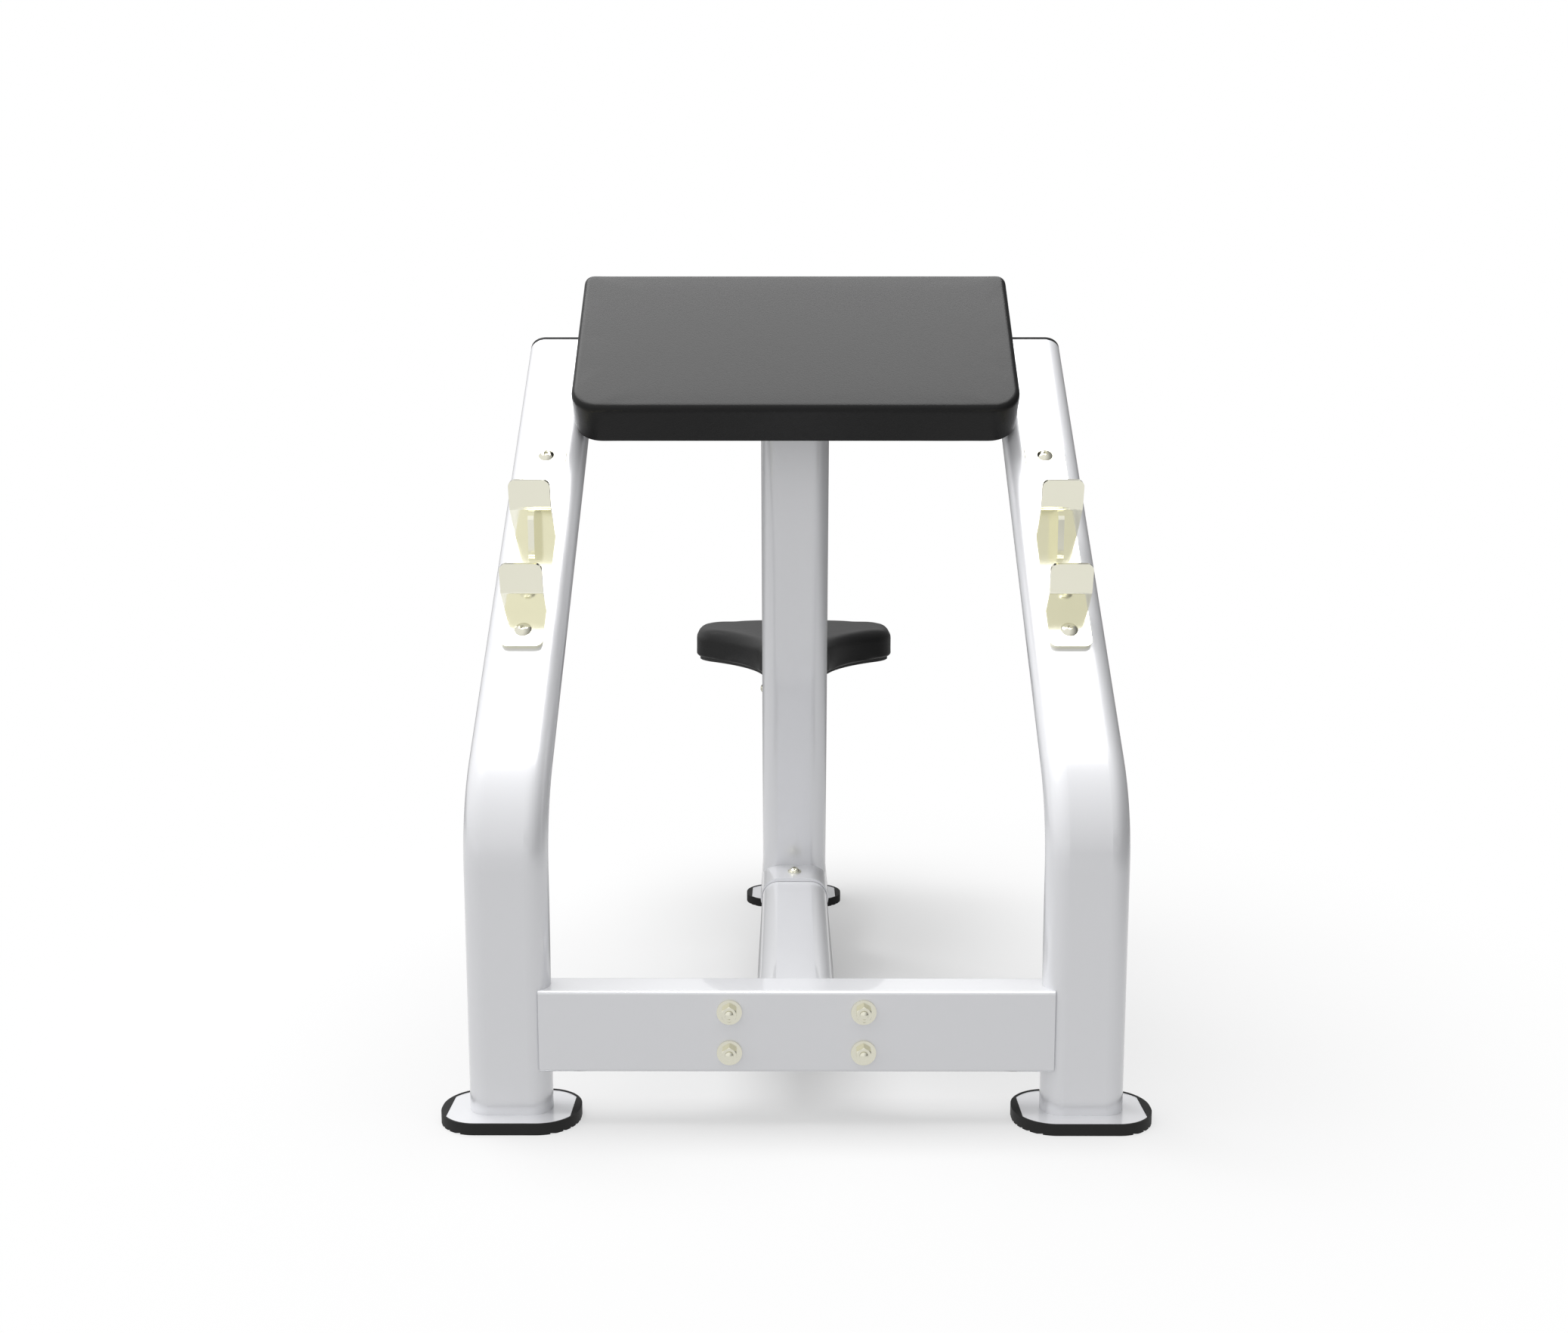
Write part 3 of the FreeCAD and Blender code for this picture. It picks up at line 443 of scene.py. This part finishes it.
# %% [markdown]
# ## Cushions
#
# Both cushions are foam on a board under tight vinyl. A cushion could be a rounded box, but its plan has
# corners of several sizes and hollow sides. So a plan is drawn first as a chain of arcs, and carried up
# through rings that are drawn in at the bottom and rounded at the top. A Coons patch, which fills a space
# between four curved sides, closes the top and the pocket over the board. Then cloth is simulated on it, so
# that the cover swells the way foam fills it.


# %% A plan of arcs, and points along it
def arc(centre, radius, start, end, hollow=False, count=48):
    """Rows of (x, y, outward x, outward y) on a circle: centre + radius (cos a, sin a), a in degrees."""
    angle = np.radians(np.linspace(start, end, count))
    way = np.column_stack([np.cos(angle), np.sin(angle)])
    return np.hstack([np.array(centre) + radius * way, -way if hollow else way])


def spread(rows, count):
    """The rows at equal steps of length along a side. The last point is left to the next side."""
    steps = np.hypot(*np.diff(rows[:, :2], axis=0).T)
    length = np.concatenate([[0], np.cumsum(steps)])
    places = np.linspace(0, length[-1], count, endpoint=False)
    return np.column_stack([np.interp(places, length, column) for column in rows.T])


def coons(ring, across, along):
    """A grid inside a ring of four sides.

    It is (1 - v) front + v back + (1 - u) left + u right, less the corners, which that counts twice.
    """
    front, right = ring[: across + 1], ring[across : across + along + 1]
    back = ring[across + along : 2 * across + along + 1][::-1]
    left = np.concatenate([ring[2 * across + along :], ring[:1]])[::-1]
    u = np.linspace(0, 1, across + 1)[None, :, None]
    v = np.linspace(0, 1, along + 1)[:, None, None]
    ruled = (1 - v) * front + v * back + (1 - u) * left[:, None] + u * right[:, None]
    low_corners = (1 - u) * front[0] + u * front[-1]
    high_corners = (1 - u) * back[0] + u * back[-1]
    return ruled - (1 - v) * low_corners - v * high_corners


# %% A cushion's closed surface
ROUND_POINTS = 7
SIDE_POINTS = 8
UNDER_POINTS = 3
POCKET_RINGS = UNDER_POINTS + 1


def ring_grid(first, interior, across, along):
    """The vertex numbers of a Coons grid whose rim is a ring that starts at one number."""
    total = 2 * (across + along)
    grid = np.zeros((along + 1, across + 1), int)
    grid[1:-1, 1:-1] = interior + np.arange((along - 1) * (across - 1)).reshape(along - 1, across - 1)
    grid[0] = first + np.arange(across + 1)
    grid[:, -1] = first + across + np.arange(along + 1)
    grid[-1] = first + (2 * across + along - np.arange(across + 1))
    grid[:, 0] = first + (total - np.arange(along + 1)) % total
    return grid


def quads(grid):
    """The four corners of every cell of a grid of vertex numbers."""
    return np.stack([grid[:-1, :-1], grid[:-1, 1:], grid[1:, 1:], grid[1:, :-1]], axis=-1).reshape(-1, 4)


def cushion_surface(plan, across, along, levels):
    """Rings of a plan, each at height h and drawn in as (x, y) - inset * outward, with closed ends.

    A Coons patch closes each end. The numbers of the points of the pocket come third.
    """
    heights, insets = levels.T
    around = plan[None, :, :2] - insets[:, None, None] * plan[None, :, 2:]
    raised = np.broadcast_to(heights[:, None, None], around.shape[:2] + (1,))
    rings = np.concatenate([around, raised], axis=2)
    total = len(plan)
    roof = coons(rings[0], across, along)[1:-1, 1:-1]
    top = coons(rings[-1], across, along)[1:-1, 1:-1]
    points = np.concatenate([rings.reshape(-1, 3), roof.reshape(-1, 3), top.reshape(-1, 3)])
    last = (len(levels) - 1) * total
    inside = len(levels) * total
    patch = (across - 1) * (along - 1)
    number = np.arange(inside).reshape(len(levels), total)
    number = np.hstack([number, number[:, :1]])
    faces = [
        quads(number),
        quads(ring_grid(0, inside, across, along))[:, ::-1],
        quads(ring_grid(last, inside + patch, across, along)),
    ]
    pocket = np.concatenate([np.arange(POCKET_RINGS * total), inside + np.arange(patch)])
    return points, np.concatenate(faces).tolist(), pocket


def cushion_levels(thickness, edge, tuck, pocket_depth, pocket_inset):
    """Rows of height and inset: the pocket's roof, its rim, the tuck, the side and the upper edge.

    The tuck is tuck (1 - cos a, 1 - sin a), and the edge goes edge (sin a, 1 - cos a) from the side's end.
    """
    quarter = np.linspace(0, np.pi / 2, ROUND_POINTS)
    low = np.column_stack([tuck * (1 - np.cos(quarter)), tuck * (1 - np.sin(quarter))])
    side = np.linspace(tuck, thickness - edge, SIDE_POINTS)[1:-1]
    high = np.column_stack([thickness - edge + edge * np.sin(quarter), edge * (1 - np.cos(quarter))])
    under = np.linspace(pocket_inset, tuck, UNDER_POINTS)[:-1]
    return np.concatenate(
        [
            [[pocket_depth, pocket_inset]],
            np.column_stack([np.zeros_like(under), under]),
            low,
            np.column_stack([side, np.zeros_like(side)]),
            high,
        ]
    )


def new_mesh(name, points, faces):
    """A mesh object at the origin from an array of points and a list of faces."""
    mesh = bpy.data.meshes.new(name)
    mesh.from_pydata(points, [], faces)
    mesh.shade_smooth()
    made = bpy.data.objects.new(name, mesh)
    scene.collection.objects.link(made)
    return made


# %% Cloth that swells under pressure
PRESSURE = 4.0
LAST_FRAME = 20
LEAST_MOVE = 1e-9


def swell(cushions):
    """Blows the cushions up as cloth with pinned pockets. A move m becomes cap * tanh(m / cap)."""
    for made, pinned, _ in cushions:
        made.vertex_groups.new(name="pinned").add(pinned.tolist(), 1.0, "REPLACE")
        settings = made.modifiers.new("cloth", "CLOTH").settings
        settings.use_pressure = True
        settings.uniform_pressure_force = PRESSURE
        settings.effector_weights.gravity = 0.0
        settings.vertex_group_mass = "pinned"
    for frame_number in range(1, LAST_FRAME + 1):
        scene.frame_set(frame_number)
    depsgraph = bpy.context.evaluated_depsgraph_get()
    for made, _, cap in cushions:
        rest = np.empty(3 * len(made.data.vertices), np.float32)
        made.data.vertices.foreach_get("co", rest)
        blown = np.empty_like(rest)
        made.evaluated_get(depsgraph).data.vertices.foreach_get("co", blown)
        move = (blown - rest).reshape(-1, 3)
        length = np.linalg.norm(move, axis=1, keepdims=True)
        move *= cap * np.tanh(length / cap) / np.maximum(length, LEAST_MOVE)
        made.modifiers.remove(made.modifiers["cloth"])
        made.vertex_groups.clear()
        made.data.vertices.foreach_set("co", rest + move.ravel())
        made.data.update()
        most = round(1000 * float(length.max()), 1)
        print(made.name, "swelled by up to", most, "mm, kept below", 1000 * cap)
    scene.frame_set(1)


# %% [markdown]
# ### Arm pad
#
# The pad is a firm slab with a flat top, large round corners at its lower edge and small ones at its upper
# edge. It is made flat about the origin and then set on the uprights' lean.

# %% Arm pad's shape
PAD_SIZE = (0.621, 0.286, 0.065)
PAD_CORNERS = (0.040, 0.014)
PAD_EDGE = 0.009
PAD_TUCK = 0.004
PAD_POCKET = (0.0153, 0.0137)
PAD_SWELL = 0.0006
PAD_CELLS = (100, 46)


def pad_plan(width, length, front, back):
    """The pad's outline in four sides, each from the middle of one corner to the middle of the next."""
    x, y = width / 2, length / 2
    corners = [(-x + front, -y + front, front, 180), (x - front, -y + front, front, 270)]
    corners += [(x - back, y - back, back, 0), (-x + back, y - back, back, 90)]
    halves = [
        (arc((cx, cy), radius, start, start + 45), arc((cx, cy), radius, start + 45, start + 90))
        for cx, cy, radius, start in corners
    ]
    sides = [np.concatenate([halves[k][1], halves[(k + 1) % 4][0]]) for k in range(4)]
    return np.concatenate([spread(side, PAD_CELLS[k % 2]) for k, side in enumerate(sides)])


plan = pad_plan(*PAD_SIZE[:2], *PAD_CORNERS)
levels = cushion_levels(PAD_SIZE[2] - PAD_SWELL, PAD_EDGE, PAD_TUCK, *PAD_POCKET)
points, faces, pad_pinned = cushion_surface(plan, *PAD_CELLS, levels)
arm_pad = new_mesh("arm_pad", points, faces)
print("arm pad:", len(points), "points")

# %% [markdown]
# ### Seat
#
# The seat has a narrow nose towards the pad, hollow sides for the thighs and a broad back. Its outline is a
# chain of arcs that run smoothly into one another, found from their radii as on a drawing board.

# %% Seat's shape
SEAT_WIDTH = 0.346
SEAT_THICKNESS = 0.050
SEAT_NOSE = (0.060, 0.1757)
SEAT_WAIST = 0.286
SEAT_FRONT_CORNER = (0.086, 0.4419)
SEAT_BACK_CORNER = 0.050
SEAT_BACK = (0.465, 0.5484)
SEAT_EDGE = 0.018
SEAT_TUCK = 0.004
SEAT_POCKET = (0.006, 0.0067)
SEAT_SWELL = 0.0012
SEAT_CROWN = 0.0035
SEAT_BASE = 0.443
SEAT_CELLS = (48, 60)


def heading(start, end):
    """The angle of the way from one point to another, in degrees."""
    return math.degrees(math.atan2(end[1] - start[1], end[0] - start[0]))


def seat_plan():
    """The seat's outline of tangent arcs: nose, waist, front corner, rear corner and back."""
    nose = np.array([0, SEAT_NOSE[1] + SEAT_NOSE[0]])
    corner = np.array([SEAT_WIDTH / 2 - SEAT_FRONT_CORNER[0], SEAT_FRONT_CORNER[1]])
    across = corner - nose
    gap = np.linalg.norm(across)
    to_nose, to_corner = SEAT_WAIST + SEAT_NOSE[0], SEAT_WAIST + SEAT_FRONT_CORNER[0]
    along = (gap**2 + to_nose**2 - to_corner**2) / (2 * gap)
    aside = math.sqrt(to_nose**2 - along**2)
    step = across / gap
    waist = nose + step * along + np.array([step[1], -step[0]]) * aside
    back = np.array([0, SEAT_BACK[1] - SEAT_BACK[0]])
    rear_x = SEAT_WIDTH / 2 - SEAT_BACK_CORNER
    rear = np.array([rear_x, back[1] + math.sqrt((SEAT_BACK[0] - SEAT_BACK_CORNER) ** 2 - rear_x**2)])
    nose_end, rear_end = heading(nose, waist), heading(back, rear)
    corner_start = heading(corner, waist)
    nose_arc = arc(nose, SEAT_NOSE[0], -90, nose_end)
    waist_arc = arc(waist, SEAT_WAIST, nose_end + 180, corner_start + 180, hollow=True)
    corner_arc = arc(corner, SEAT_FRONT_CORNER[0], corner_start, 0)
    rear_half = rear_end / 2
    low_rear = arc(rear, SEAT_BACK_CORNER, 0, rear_half)
    high_rear = arc(rear, SEAT_BACK_CORNER, rear_half, rear_end)
    back_arc = arc(back, SEAT_BACK[0], rear_end, 90)
    mirror = np.array([-1, 1, -1, 1])
    front = np.concatenate([nose_arc[::-1] * mirror, nose_arc])
    right = np.concatenate([waist_arc, corner_arc, low_rear])
    rear_side = np.concatenate([high_rear, back_arc])
    rear_side = np.concatenate([rear_side, rear_side[::-1] * mirror])
    sides = [front, right, rear_side, right[::-1] * mirror]
    return np.concatenate([spread(side, SEAT_CELLS[k % 2]) for k, side in enumerate(sides)])


plan = seat_plan()
levels = cushion_levels(SEAT_THICKNESS - SEAT_SWELL, SEAT_EDGE, SEAT_TUCK, *SEAT_POCKET)
points, faces, seat_pinned = cushion_surface(plan, *SEAT_CELLS, levels)
raised = np.clip(2 * points[:, 2] / SEAT_THICKNESS - 1, 0, 1)
points[:, 2] += SEAT_BASE + SEAT_CROWN * raised * (1 - (2 * points[:, 0] / SEAT_WIDTH) ** 2)
seat_pad = new_mesh("seat_pad", points, faces)
print("seat:", len(points), "points")

# %% [markdown]
# ### Swelling, and setting the pad on its lean
#
# Both cushions are blown up in one run of the cloth. The cap on each point's move keeps the flat, firm look
# of dense foam. One level of subdivision then smooths the rounded edges.

# %% Simulate and place the cushions
LEAN = math.radians(45)
BEND_HEIGHT = 0.380
BEND_Y = -0.49694
PAD_ALONG = 0.72839
TUBE_HALF_DEPTH = 0.025

swell([(arm_pad, pad_pinned, PAD_SWELL), (seat_pad, seat_pinned, SEAT_SWELL)])

flat = np.empty(3 * len(arm_pad.data.vertices), np.float32)
arm_pad.data.vertices.foreach_get("co", flat)
x, along, out = flat.reshape(-1, 3).T + np.array([[0], [PAD_ALONG], [TUBE_HALF_DEPTH]])
leaning_y = BEND_Y + along * math.cos(LEAN) - out * math.sin(LEAN)
leaning_z = BEND_HEIGHT + along * math.sin(LEAN) + out * math.cos(LEAN)
arm_pad.data.vertices.foreach_set("co", np.column_stack([x, leaning_y, leaning_z]).ravel())
arm_pad.data.update()

for made, node, body in ((arm_pad, "pad_cushion", "frame"), (seat_pad, "seat_cushion", "seat")):
    made.data.materials.append(finishes["upholstery"])
    smoother = made.modifiers.new("smoother", "SUBSURF")
    smoother.levels = smoother.render_levels = 1
    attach(made, body)
    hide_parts(node)
    low, high = np.array(made.bound_box).min(0), np.array(made.bound_box).max(0)
    cad_size = np.subtract(*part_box(node)[::-1])
    print(made.name, "of size", (high - low).round(4), "for a CAD piece of", cad_size.round(4))

# %% [markdown]
# ## Spring of the seat lock
#
# The CAD model keeps the spring's space as a plain ring. The real spring is a coil of wire: a circle
# carried along a helix. It shortens between the pin's collar and the cap when the knob is pulled.

# %% Coil spring
COIL_WIRE = 0.0011
COIL_TURNS = 8.0


def coil(low, high, turns, wire, around=12, along=480):
    """A wire's circle carried along a helix about +Y that fills a box.

    A point is axis + (radius + wire cos a) outward + wire sin a upward, and outward turns with the helix.
    """
    radius = (high[0] - low[0]) / 2 - wire
    share = np.linspace(0, 1, along)[:, None]
    turn = 2 * np.pi * turns * share
    rise = high[1] - low[1] - 2 * wire
    centre_x, centre_z = (low[0] + high[0]) / 2, (low[2] + high[2]) / 2
    outward = np.stack([np.cos(turn), np.zeros_like(turn), np.sin(turn)], axis=-1)
    flat = np.zeros_like(turn)
    path = np.stack([flat + centre_x, low[1] + wire + rise * share, flat + centre_z], axis=-1)
    round_wire = np.linspace(0, 2 * np.pi, around, endpoint=False)[None, :, None]
    upward = np.array([0.0, 1.0, 0.0])
    points = path + (radius + wire * np.cos(round_wire)) * outward + wire * np.sin(round_wire) * upward
    number = np.arange(along * around).reshape(along, around)
    ends = [number[0].tolist(), number[-1, ::-1].tolist()]
    number = np.hstack([number, number[:, :1]])
    return points.reshape(-1, 3), quads(number)[:, ::-1].tolist() + ends


low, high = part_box("pin_spring")
spring_points, spring_faces = coil(low, high, COIL_TURNS, COIL_WIRE)
lock_spring = new_mesh("lock_spring", spring_points, spring_faces)
lock_spring.data.materials.append(finishes["fastener_steel"])
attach(lock_spring, "frame")
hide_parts("pin_spring")
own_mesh(lock_spring)
print("spring of", COIL_TURNS, "turns,", round(1000 * (high.y - low.y), 1), "mm long")

# %% [markdown]
# ## Size
#
# The box of the dressed bench is printed.

# %% Print the dressed bench's box
low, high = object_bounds()
print("visual box:", [round(c, 4) for c in (*low, *high)])
